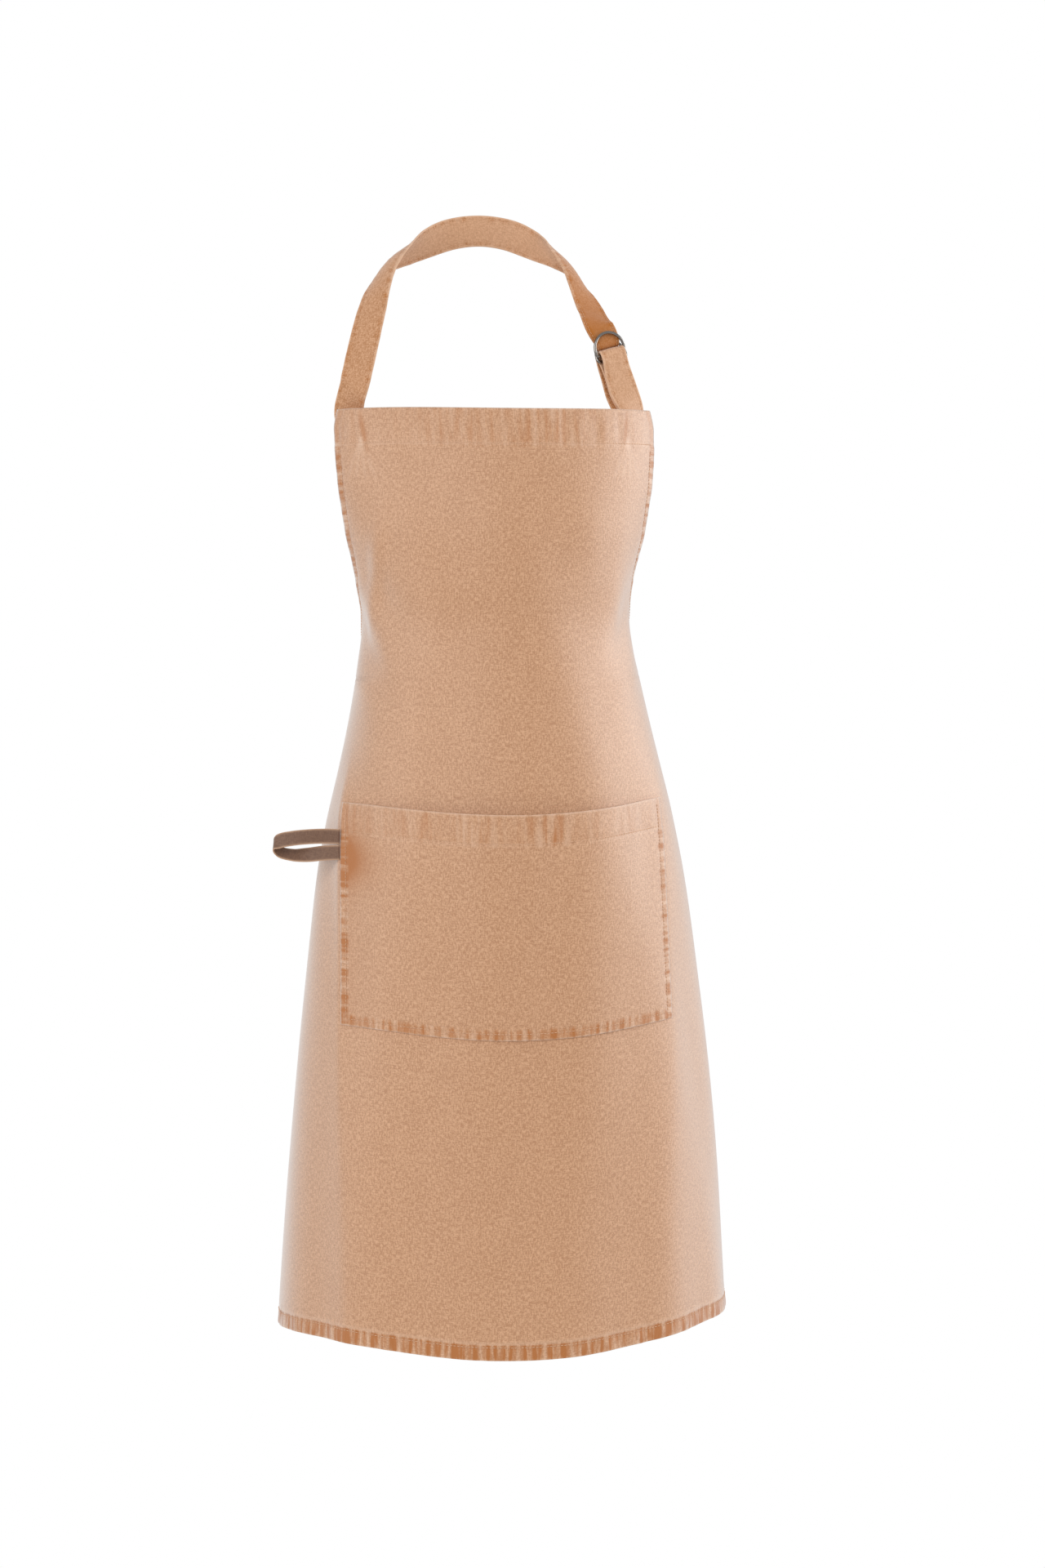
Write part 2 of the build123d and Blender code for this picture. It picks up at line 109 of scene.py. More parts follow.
def band(x, a, b, soft):
    """1 between a and b, falling to 0 over the soft margin outside."""
    return step(x, a - soft, a) * (1 - step(x, b, b + soft))


def half_width(z):
    """Half the cut width at height z: straight bib, quarter-ellipse armhole, straight skirt;
    the bib's top corners are drawn in by CORNER_TUCK, fading over TUCK_DEEP."""
    t = np.clip((ARMHOLE - z) / (ARMHOLE - CORNER), 0, 1)
    curve = BIB_HALF + (SKIRT_HALF - BIB_HALF) * (1 - np.sqrt(1 - t * t))
    return curve - CORNER_TUCK * np.clip(1 - (BIB_TOP - z) / TUCK_DEEP, 0, 1) ** 1.5


def pucker(s, z):
    """Puckers drawn up by the sewing, in mm: rows of ripples along the hems."""
    top = 0.55 * ripple(s, 13, 3) + 0.35 * ripple(s, 6, 4)
    low = 0.9 * ripple(s + 0.4 * (z - HEM), 11, 5) + 0.5 * ripple(s, 5.5, 6)
    edge = 0.6 * ripple(z, 12, 7) + 0.35 * ripple(z, 6, 8)
    side = np.abs(s) - half_width(z)
    return (top * bell(z - BIB_TOP + 20, 17) + low * bell(z - HEM - 7, 9)
            + edge * bell(side + 4.5, 6.5))


def folds(s, z):
    """Height of the soft folds over the smooth drape, in mm: two pressed creases that fall
    off as exp(-distance / 26 mm), slow sine and random waves in the skirt, a fold down the
    belly, and slanting drag lines where the armholes pull."""
    skirt = step(-z, 540, 640)
    low = step(-z, 760, 1000)
    crease = (5.0 + 6.5 * bell(z + 600, 110)) * np.exp(
        -np.hypot(s + 172.0 - 9.0 * low, 2.0 + 5.0 * low) / 26.0)
    crease = crease + 4.5 * np.exp(-np.hypot(s - 167.0 + 14.0 * low, 6.0 + 6.0 * low) / 28.0)
    swing = (1.6 * np.sin(s / 27.0 + 0.4 + z / 420.0) + 1.1 * np.sin(s / 15.5 - z / 300.0 + 1.0))
    sway = 1.8 * ripple(s + 0.12 * z, 46, 11) * step(-z, 760, 1000)
    belly = 2.2 * bell(s - 14 - 0.05 * (z + 640), 17) * bell(z + 640, 120)
    drag = 2.6 * np.sin((s * 0.8 + z * 0.6) / 9.5) * bell(s + 140, 34) * bell(z + 395, 58)
    drag += 1.8 * np.sin((-s * 0.8 + z * 0.6) / 10.5) * bell(s - 142, 34) * bell(z + 400, 55)
    pull = s + 131.0 - 0.22 * (z + 345.0)
    drag += 2.6 * bell(pull, 10) * bell(z + 345, 48)
    drag += 1.4 * bell(s - 124.0 - 0.1 * (z + 340), 15) * bell(z + 350, 60)
    bib = 1.0 * ripple(s + 0.3 * z, 42, 12) * step(-z, 220, 320)
    return crease * step(-z, 500, 590) + swing * skirt * 0.8 + sway + belly + drag + bib


def drape(s, z, out=0.0):
    """Cloth point (s along the weft, z down the warp, out off the body) in mm: |s| is walked
    round the level's ellipse from the middle front, the point moves out along the ellipse's
    normal by the folds, and it rides up to 30 mm where the cloth goes round the sides."""
    s, z = np.broadcast_arrays(np.asarray(s, float), np.asarray(z, float))
    a, b, front, middle = np.moveaxis(smooth_rows(BODY[::-1, 0], BODY[::-1, 1:], z), -1, 0)
    row = np.clip((z - LEVELS[0]) / (LEVELS[1] - LEVELS[0]), 0, len(LEVELS) - 1.001)
    i, d = row.astype(int), np.clip(np.abs(s), 0, 359.9)
    j, f = d.astype(int), row - row.astype(int)
    g = d - j
    turn = ((1 - f) * ((1 - g) * TURN[i, j] + g * TURN[i, j + 1])
            + f * ((1 - g) * TURN[i + 1, j] + g * TURN[i + 1, j + 1])) * np.sign(s)
    nx, ny = b * np.sin(turn), -a * np.cos(turn)
    n = np.hypot(nx, ny)
    off = out + folds(s, z) + pucker(s, z)
    ease = 0.32 + 0.68 * np.clip((-z - 250) / 330.0, 0, 1)
    lift = (22.0 + 8.0 * s / SKIRT_HALF) * ease * (1 - np.exp(-(s / 160.0) ** 2))
    return np.stack([middle + a * np.sin(turn) + off * nx / n,
                     front + b * (1 - np.cos(turn)) + off * ny / n, z + lift], -1)


def build(name, verts, quads, caps=(), uv=None, seam=None):
    """Mesh object from points in mm; quads (n, 4), extra polygons, UV in metres per point."""
    verts = np.asarray(verts, float).reshape(-1, 3) / 1000.0
    tri = np.concatenate([quads[:, [0, 1, 2]], quads[:, [0, 2, 3]]])
    if np.einsum("ij,ij->", verts[tri[:, 0]], np.cross(verts[tri[:, 1]], verts[tri[:, 2]])) < 0:
        quads = quads[:, ::-1]
        caps = [c[::-1] for c in caps]
    mesh = bpy.data.meshes.new(name)
    mesh.from_pydata(verts.tolist(), [], quads.tolist() + [list(c) for c in caps])
    mesh.shade_smooth()
    corner = np.empty(len(mesh.loops), int)
    mesh.loops.foreach_get("vertex_index", corner)
    if uv is not None:
        layer = mesh.uv_layers.new(name="weave")
        layer.data.foreach_set("uv", (np.asarray(uv).reshape(-1, 2)[corner] / 1000.0).ravel())
    if seam is not None:
        mesh.attributes.new("seam", "FLOAT_VECTOR", "POINT").data.foreach_set(
            "vector", np.asarray(seam, float).ravel())
    obj = bpy.data.objects.new(name, mesh)
    bpy.context.scene.collection.objects.link(obj)
    return obj


def net(rows, cols, first=0):
    """Quads of a rows x cols grid of points."""
    k = np.arange(rows * cols).reshape(rows, cols) + first
    return np.stack([k[:-1, :-1], k[:-1, 1:], k[1:, 1:], k[1:, :-1]], -1).reshape(-1, 4)


def cloth_sheet(name, front, back, uv, seam):
    """Closed thin sheet: a front grid, a back grid and a strip round their edges."""
    rows, cols = front.shape[:2]
    n = rows * cols
    k = np.arange(n).reshape(rows, cols)
    rim = np.concatenate([k[0, :-1], k[:-1, -1], k[-1, :0:-1], k[:0:-1, 0]])
    nxt = np.roll(rim, -1)
    quads = np.concatenate([net(rows, cols)[:, ::-1], net(rows, cols, n),
                            np.stack([rim, nxt, nxt + n, rim + n], -1)])
    return build(name, np.concatenate([front.reshape(-1, 3), back.reshape(-1, 3)]), quads,
                 uv=np.concatenate([uv.reshape(-1, 2)] * 2),
                 seam=np.concatenate([seam.reshape(-1, 3)] * 2))


def srgb(code):
    """Linear RGBA from a hex colour."""
    c = np.array([int(code[i:i + 2], 16) for i in (1, 3, 5)]) / 255.0
    lin = np.where(c <= 0.04045, c / 12.92, ((c + 0.055) / 1.055) ** 2.4)
    return (*lin.tolist(), 1.0)


def node(tree, kind, links=(), **settings):
    """Adds a shader node: settings by property or input name, links as (input, socket)."""
    n = tree.nodes.new(kind)
    for key, value in settings.items():
        if key in n.inputs.keys():
            n.inputs[key].default_value = value
        else:
            setattr(n, key, value)
    for key, socket in links:
        tree.links.new(socket, n.inputs[key])
    return n


def canvas(name, light, dark, shade_and_dye_colour, sheen=1.0, weave=1.0, gloss=0.8):
    """Heathered plain weave: pale and dark yarns, slubs both ways. The seam attribute holds
    how strongly blotches of painted pucker shade and highlight, partly washed dye, lie
    across (x) and along (y) a seam, and a plain tone (z): below 0 is painted shade, with
    kept dye, above 0 is painted highlight, with washed-out dye."""
    mat = bpy.data.materials.new(name)
    mat.use_nodes = True
    t = mat.node_tree
    shader = t.nodes["Principled BSDF"]
    uv = node(t, "ShaderNodeUVMap", uv_map="weave").outputs["UV"]

    def noise(scale, detail):
        m = node(t, "ShaderNodeVectorMath", [(0, uv)], operation="MULTIPLY")
        m.inputs[1].default_value = scale
        return node(t, "ShaderNodeTexNoise", [("Vector", m.outputs[0])], Scale=1.0,
                    Detail=detail, Roughness=0.55).outputs["Fac"]

    def maths(kind, x, y):
        m = node(t, "ShaderNodeMath", operation=kind)
        for k, value in enumerate((x, y)):
            if isinstance(value, (int, float)):
                m.inputs[k].default_value = value
            else:
                t.links.new(value, m.inputs[k])
        return m.outputs[0]

    total = None
    for scale, detail, gain in (((800, 260, 1), 2.0, 0.46), ((260, 800, 1), 2.0, 0.34),
                                ((900, 900, 1), 1.0, 0.30), ((60, 30, 1), 2.0, 0.06)):
        part = maths("MULTIPLY", noise(scale, detail), gain)
        total = part if total is None else maths("ADD", total, part)
    spread = node(t, "ShaderNodeMapRange", [("Value", total)])
    spread.inputs["From Min"].default_value = 0.588 - 0.08 / weave
    spread.inputs["From Max"].default_value = 0.588 + 0.08 / weave
    yarn = node(t, "ShaderNodeMix", [(0, spread.outputs[0])], data_type="RGBA")
    yarn.inputs[6].default_value = srgb(dark)
    yarn.inputs[7].default_value = srgb(light)
    seam = node(t, "ShaderNodeSeparateXYZ", [(0, node(
        t, "ShaderNodeAttribute", attribute_name="seam").outputs["Vector"])]).outputs
    # Blotches along a seam: painted shade in its puckers and painted highlight on them, partly the
    # washed dye's own blotching; the seam attribute's z adds painted shade below 0 and painted
    # highlight above 0.
    over = maths("MULTIPLY", maths("SUBTRACT", noise((170, 20, 1), 2.0), 0.52), seam[0])
    along = maths("MULTIPLY", maths("SUBTRACT", noise((20, 170, 1), 2.0), 0.52), seam[1])
    light_shade_and_wear = maths("ADD", maths("MULTIPLY", maths("ADD", over, along), 6.0), seam[2])
    # Below 0 the colour mixes toward the darker colour argument: painted shade, with kept dye.
    deep = node(t, "ShaderNodeMapRange", [("Value", light_shade_and_wear)])
    deep.inputs["From Max"].default_value = -1.0
    mix = node(t, "ShaderNodeMix", [(0, deep.outputs[0]), (6, yarn.outputs[2])],
               data_type="RGBA")
    mix.inputs[7].default_value = srgb(shade_and_dye_colour)
    # Above 0 it mixes toward a pale tan (#DFB594): painted highlight, with washed-out dye.
    pale = node(t, "ShaderNodeMapRange", [("Value", light_shade_and_wear)])
    pale.inputs["To Max"].default_value = 0.8
    top = node(t, "ShaderNodeMix", [(0, pale.outputs[0]), (6, mix.outputs[2])],
               data_type="RGBA")
    top.inputs[7].default_value = srgb("#DFB594")
    t.links.new(top.outputs[2], shader.inputs["Base Color"])
    height = maths("ADD", total, maths("MULTIPLY", light_shade_and_wear, 0.35))
    bump = node(t, "ShaderNodeBump", [("Height", height)], Strength=0.5, Distance=0.0007)
    t.links.new(bump.outputs[0], shader.inputs["Normal"])
    shader.inputs["Roughness"].default_value = 0.45
    fuzz = maths("SUBTRACT", 1.0, maths("MULTIPLY", deep.outputs[0], 0.5))
    t.links.new(maths("MULTIPLY", fuzz, gloss), shader.inputs["Specular IOR Level"])
    t.links.new(maths("MULTIPLY", fuzz, sheen), shader.inputs["Sheen Weight"])
    shader.inputs["Sheen Roughness"].default_value = 0.6
    return mat


# B06822 is the darker seam colour: painted shade, with kept dye.
CANVAS = canvas("washed_canvas", "#D39E71", "#AF743E", "#B06822")

z_rows = np.concatenate([np.arange(BIB_TOP, -229, -2.0), np.arange(-229, -1040, -5.0),
                         np.arange(-1040, HEM, -1.6), [HEM]])
u_cols = np.linspace(-1, 1, 205)
Z = np.repeat(z_rows[:, None], len(u_cols), 1)
S = u_cols[None, :] * half_width(Z)
sewn = bell(Z - (BIB_TOP - TOP_SEAM), 1.6) + bell(Z - (HEM + LOW_SEAM), 1.6)
sewn = sewn + bell(np.abs(S) - half_width(Z) + 7.0, 1.6) * (np.abs(S) > 120)
sewn = np.clip(sewn, 0, 1)
edge_in = half_width(Z) - np.abs(S)
# Blotch masks across (hem) and along (edge) the sewn hems: painted pucker shade and highlight,
# partly washed dye.
hem = 0.50 * band(Z, BIB_TOP - 35, BIB_TOP, 3) * np.abs(ripple(S, 38, 31)) ** 0.7
hem = hem + 0.95 * band(Z, HEM, HEM + 13.5, 2)
edge = 0.9 * (1 - step(edge_in, 7, 10)) * (Z < BIB_TOP - 30) * (Z > HEM + 16)
# Darker over the bottom hem band, painted shade of its puckers, and darker along the side hem
# bands; the pale lines on the hems' folds and stitch rows are painted highlights.
shade = -0.50 * band(Z, HEM, HEM + 13, 2) - 0.25 * (1 - step(edge_in, 7, 10))
shade = shade + 0.40 * bell(Z - HEM - 15.5, 1.5) + 0.45 * bell(Z - HEM, 1.4)
shade = shade + 0.35 * bell(Z - BIB_TOP + 33.5, 1.3) + 0.25 * bell(Z - BIB_TOP, 1.6)
# Under each strap corner: painted shade of one crease in the hem, and below it a fan of pale lines
# of painted highlight.
for corner_s, lean in ((-136.0, -0.15), (130.0, 0.1)):
    shade = shade - 0.85 * bell(S - corner_s - lean * (Z - BIB_TOP), 2.6) * band(
        Z, BIB_TOP - 42, BIB_TOP - 6, 8) * (0.6 + 0.4 * ripple(Z, 7, 33))
    for fan in (-0.5, -0.2, 0.1, 0.42):
        shade = shade + 0.35 * bell(S - corner_s - fan * (BIB_TOP - 30 - Z), 1.8) * band(
            Z, BIB_TOP - 60, BIB_TOP - 34, 10)
seam = np.stack([hem, edge, np.clip(shade, -1, 1)], -1)
body = cloth_sheet("body_panel_cloth", drape(S, Z, CLOTH / 2 - 0.35 * sewn),
                   drape(S, Z, -CLOTH / 2), np.stack([S, Z], -1), seam)
body.data.materials.append(CANVAS)
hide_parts("body_panel")
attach(body, "apron")

# ---- Turned hems and their stitches ----------------------------------------------------
# The cut edges are turned to the back and sewn down with one row of lockstitch: deep at
# the bib's top, narrow round the armholes, medium on the skirt's sides and bottom.
def strip(name, s, z):
    """Turned layer over the pattern points (s, z), one cloth thick, behind the panel."""
    sheet = cloth_sheet(name + "_cloth", drape(s, z, INSIDE), drape(s, z, INSIDE - CLOTH),
                        np.stack([s, z], -1), np.zeros((*s.shape, 3)))
    sheet.data.materials.append(CANVAS)
    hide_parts(name)
    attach(sheet, "apron")
    return sheet


def stitches(name, lines, radius=0.30):
    """Rows of lockstitch: a six-sided spindle at each pitch along each (points, normals)."""
    pitch, length = 3.3, 2.6
    verts, quads, caps, base = [], [], [], 0
    ring = np.radians(np.arange(0, 360, 60.0))
    for points, normals in lines:
        walk = np.concatenate([[0], np.cumsum(np.linalg.norm(np.diff(points, axis=0), axis=1))])
        at = np.arange(pitch, walk[-1] - pitch / 2, pitch)
        p = np.stack([np.interp(at, walk, points[:, k]) for k in range(3)], -1)
        q = np.stack([np.interp(at + 0.5, walk, points[:, k]) for k in range(3)], -1)
        n = np.stack([np.interp(at, walk, normals[:, k]) for k in range(3)], -1)
        t = (q - p) / np.linalg.norm(q - p, axis=1)[:, None]
        w = np.cross(t, n)
        w /= np.linalg.norm(w, axis=1)[:, None]
        n = np.cross(w, t)
        run = np.array([-0.5, -0.28, 0.28, 0.5]) * length
        thick = np.array([0.25, 0.95, 0.95, 0.25]) * radius
        sink = np.array([-0.28, 0.0, 0.0, -0.28])
        v = (p[:, None, None] + run[None, :, None, None] * t[:, None, None]
             + (thick[:, None] * np.cos(ring))[None, ..., None] * w[:, None, None]
             + (thick[:, None] * np.sin(ring) + sink[:, None])[None, ..., None]
             * n[:, None, None])
        count = len(at)
        verts.append(v.reshape(-1, 3))
        k = np.arange(24).reshape(4, 6)
        wrap = np.concatenate([k, k[:, :1]], 1)
        one = np.stack([wrap[:-1, :-1], wrap[:-1, 1:], wrap[1:, 1:], wrap[1:, :-1]],
                       -1).reshape(-1, 4)
        first = base + 24 * np.arange(count)
        quads.append((one[None] + first[:, None, None]).reshape(-1, 4))
        caps += [(c + np.arange(5, -1, -1)).tolist() for c in first]
        caps += [(c + 18 + np.arange(6)).tolist() for c in first]
        base += 24 * count
    rows = build(name + "_rows", np.concatenate(verts), np.concatenate(quads), caps)
    rows.data.materials.append(THREAD)
    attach(rows, "apron")
    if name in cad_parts:
        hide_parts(name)


def on_drape(s, z, out):
    """Dense points and normals along pattern points lifted off the drape."""
    p = drape(s, z, out)
    return p, drape(s, z, out + 1.0) - p


THREAD = bpy.data.materials.new("sewing_cotton")
THREAD.use_nodes = True
shader = THREAD.node_tree.nodes["Principled BSDF"]
shader.inputs["Base Color"].default_value = srgb("#DAB08C")
shader.inputs["Roughness"].default_value = 0.75
shader.inputs["Sheen Weight"].default_value = 0.2
INSIDE = -CLOTH / 2 - 0.1  # outer face of a turned layer, measured off the drape
SIDE_HEM, SIDE_SEAM, ARM_HEM, ARM_SEAM = 12.0, 9.0, 9.0, 7.2
hz = np.repeat(np.linspace(BIB_TOP - 0.2, BIB_TOP - TOP_HEM, 19)[:, None], 101, 1)
top_hem = strip("bib_top_hem", np.linspace(-1, 1, 101) * (half_width(hz) - 0.3), hz)
turn = np.radians(np.linspace(0, 90, 50))
edge_z = np.concatenate([np.linspace(-226, -338, 40), ARMHOLE - 110 * np.sin(turn[:-2])])
edge_s = half_width(edge_z) - 0.2
into = np.stack([np.gradient(edge_z), -np.gradient(edge_s)], -1)
into /= np.linalg.norm(into, axis=1)[:, None]
into *= np.sign(-into[:, :1])
for name, side in (("left", -1), ("right", 1)):
    deep = np.linspace(0, ARM_HEM, 6)
    strip("armhole_hem_" + name, side * (edge_s[:, None] + deep * into[:, :1]),
                      edge_z[:, None] + deep * into[:, 1:])
    stitches("thread_armhole_" + name, [on_drape(
        side * (edge_s + ARM_SEAM * into[:, 0]), edge_z + ARM_SEAM * into[:, 1],
        CLOTH / 2 + 0.15)])
    side_z = np.linspace(-462, HEM + LOW_HEM + 0.3, 200)
    deep = np.linspace(SKIRT_HALF - 0.2, SKIRT_HALF - SIDE_HEM, 6)
    strip("side_hem_" + name, side * np.repeat(deep[None], 200, 0),
                      np.repeat(side_z[:, None], 6, 1))
    stitches("thread_side_" + name, [on_drape(
        side * (SKIRT_HALF - SIDE_SEAM) + 0 * side_z, side_z, CLOTH / 2 + 0.15)])
low_s = np.linspace(-SKIRT_HALF + 0.2, SKIRT_HALF - 0.2, 341)
strip("bottom_hem", np.repeat(low_s[None], 9, 0),
                  np.repeat(np.linspace(HEM + LOW_HEM, HEM + 0.2, 9)[:, None], 341, 1))
low_s, top_s = low_s[2:-2], np.linspace(-166, 166, 170)
stitches("thread_bottom_hem", [on_drape(low_s, HEM + LOW_SEAM + 0 * low_s, CLOTH / 2 + 0.1)])
stitches("thread_top_hem", [on_drape(top_s, BIB_TOP - TOP_SEAM + 0 * top_s, CLOTH / 2 + 0.1)])

# ---- Patch pocket ----------------------------------------------------------------------
# One wide patch of the same canvas, its top edge turned in a deep hem, its other three
# edges turned under and topstitched to the skirt, so the mouth stands open at the top.
P_LEFT, P_RIGHT, P_TOP, P_LOW = -169.0, 164.0, -566.0, -773.0
POCKET_OUT = 1.4  # the pocket's inner face, off the drape
MOUTH_SEAM, POCKET_SEAM, TURNING = 27.0, 6.0, 9.0


def pocket_point(s, z, out):
    """Drape point lifted by the pocket's own seam puckers and by its stand-off, which grows
    as sin(pi u)^1.5 v^1.3 from the sewn edges to 12 mm at the middle of the mouth."""
    u = np.clip((s - P_LEFT) / (P_RIGHT - P_LEFT), 0, 1)
    v = np.clip((z - P_LOW) / (P_TOP - P_LOW), 0, 1)
    gape = 12.0 * np.sin(np.pi * u) ** 1.5 * v ** 1.3
    gape = gape + 1.3 * ripple(s + 0.15 * z, 30, 21) * np.sin(np.pi * u) * step(v, 0.1, 0.5)
    seam = 0.5 * ripple(z, 9, 22) * (bell(s - P_LEFT - 5, 6) + bell(s - P_RIGHT + 5, 6))
    seam = seam + 0.5 * ripple(s, 9, 23) * bell(z - P_LOW - 5, 7)
    seam = seam + 0.45 * ripple(s, 12, 24) * bell(z - P_TOP + 14, 15)
    return drape(s, z, out + gape + np.maximum(seam, -0.45))


def pocket_strip(name, s, z, inner, outer, replaced, seam=None):
    """Thin sheet over pattern points, standing off with the pocket."""
    sheet = cloth_sheet(name, pocket_point(s, z, outer), pocket_point(s, z, inner),
                        np.stack([s + 31, z + 57], -1),
                        np.zeros((*s.shape, 3)) if seam is None else seam)
    sheet.data.materials.append(CANVAS)
    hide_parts(replaced)
    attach(sheet, "apron")
    return sheet


u_cols = np.concatenate([[0, 1.2, 2.6], np.linspace(4, 20, 9), np.linspace(24, 309, 78),
                         np.linspace(313, 329, 9), [330.4, 331.8, 333]]) + P_LEFT
z_rows = np.concatenate([[0, 1.0, 2.4], np.linspace(4, 36, 15), np.linspace(40, 187, 40),
                         np.linspace(190, 203, 8), [204.5, 206, 207]])
S, Z = np.meshgrid(u_cols, P_TOP - z_rows)
side_in = np.minimum(S - P_LEFT, P_RIGHT - S)
sewn = np.clip(bell(Z - P_TOP + MOUTH_SEAM, 1.5) + bell(Z - P_LOW - POCKET_SEAM, 1.5)
               * (side_in > 5) + bell(side_in - POCKET_SEAM, 1.5), 0, 1)
turned = np.minimum(side_in, Z - P_LOW)
# Blotch masks across (hem) and along (edge) the pocket's seams: painted pucker shade and highlight,
# partly washed dye.
hem = 0.50 * band(Z, P_TOP - 28, P_TOP, 3) * np.abs(ripple(S, 36, 34)) ** 0.7
hem = hem + 0.75 * band(Z, P_LOW, P_LOW + TURNING, 2)
edge = 0.75 * (1 - step(side_in, 7, 10)) * step(P_TOP - 26 - Z, 0, 6)
left_in = S - P_LEFT
# Darker along the turned edges and beside the left seam; the pale lines on the edges, on the
# mouth's fold and along the hem's inner edge are painted highlights.
shade = -0.20 * (1 - step(turned, 6, 10)) - 0.30 * np.exp(-left_in / 13.0)
shade = shade + 0.75 * bell(turned, 0.9) + 0.8 * bell(Z - P_TOP, 1.4)
shade = shade + 0.30 * bell(Z - P_TOP + 28, 1.2)
# A dark orange patch on the pocket beside the hanging loop's sewn ends.
shade = shade - 1.5 * np.exp(-(np.maximum(left_in, 0) / 28.0) ** 1.5) * bell(Z + 618, 24)
seam = np.stack([hem, edge, np.clip(shade, -1, 1)], -1)
pocket = pocket_strip("pocket_cloth", S, Z, POCKET_OUT,
                      POCKET_OUT + CLOTH - 0.3 * sewn - 0.35 * bell(turned, 1.2),
                      "pocket_panel", seam)
ps, pz = np.meshgrid(np.linspace(P_LEFT + 0.2, P_RIGHT - 0.2, 120),
                     np.linspace(P_TOP - 0.2, P_TOP - 29, 12))
turnings = [pocket_strip("pocket_hem_cloth", ps, pz, POCKET_OUT - 0.9, POCKET_OUT - 0.1,
                         "pocket_top_hem")]
for name, s0, s1 in (("left", P_LEFT + 0.2, P_LEFT + TURNING),
                     ("right", P_RIGHT - TURNING, P_RIGHT - 0.2)):
    ps, pz = np.meshgrid(np.linspace(s0, s1, 5), np.linspace(P_TOP - 29.4, P_LOW + 9.3, 60))
    turnings.append(pocket_strip("pocket_turning_cloth_" + name, ps, pz, 0.5, 1.3,
                                 "pocket_turning_" + name))
ps, pz = np.meshgrid(np.linspace(P_LEFT + 0.2, P_RIGHT - 0.2, 120),
                     np.linspace(P_LOW + TURNING, P_LOW + 0.2, 5))
turnings.append(pocket_strip("pocket_turning_cloth_bottom", ps, pz, 0.5, 1.3,
                             "pocket_turning_bottom"))
for name, s, z in (
        ("hem", np.linspace(P_LEFT + 8, P_RIGHT - 8, 150), np.full(150, P_TOP - MOUTH_SEAM)),
        ("bottom", np.linspace(P_LEFT + 6.8, P_RIGHT - 6.8, 150),
         np.full(150, P_LOW + POCKET_SEAM)),
        ("left", np.full(90, P_LEFT + POCKET_SEAM),
         np.linspace(P_TOP - 4, P_LOW + POCKET_SEAM, 90)),
        ("right", np.full(90, P_RIGHT - POCKET_SEAM),
         np.linspace(P_TOP - 4, P_LOW + POCKET_SEAM, 90))):
    at = pocket_point(s, z, POCKET_OUT + CLOTH + 0.1)
    stitches("thread_pocket_" + name, [(at, pocket_point(s, z, POCKET_OUT + 2) - at)])

# ---- Neck strap and ring strap ---------------------------------------------------------
# The canvas folded lengthwise to four layers and edge stitched, 30 mm wide. The long one
# is sewn behind the bib's left corner, passes round the nape and is threaded through the
# D rings; the short one holds both rings in its fold and is sewn behind the right corner.
TAPE, TAPE_WIDE = 1.8, 30.0
TAPE_THREAD = 0.22  # radius of the stitches on folded tape


def seat(s, z, out, turn=1.0):
    """Tape point and facing on the back of the bib, from the smooth pattern."""
    p = drape(s, z, out)
    return [*p, *(turn * (drape(s, z, out + 1.0) - p))]


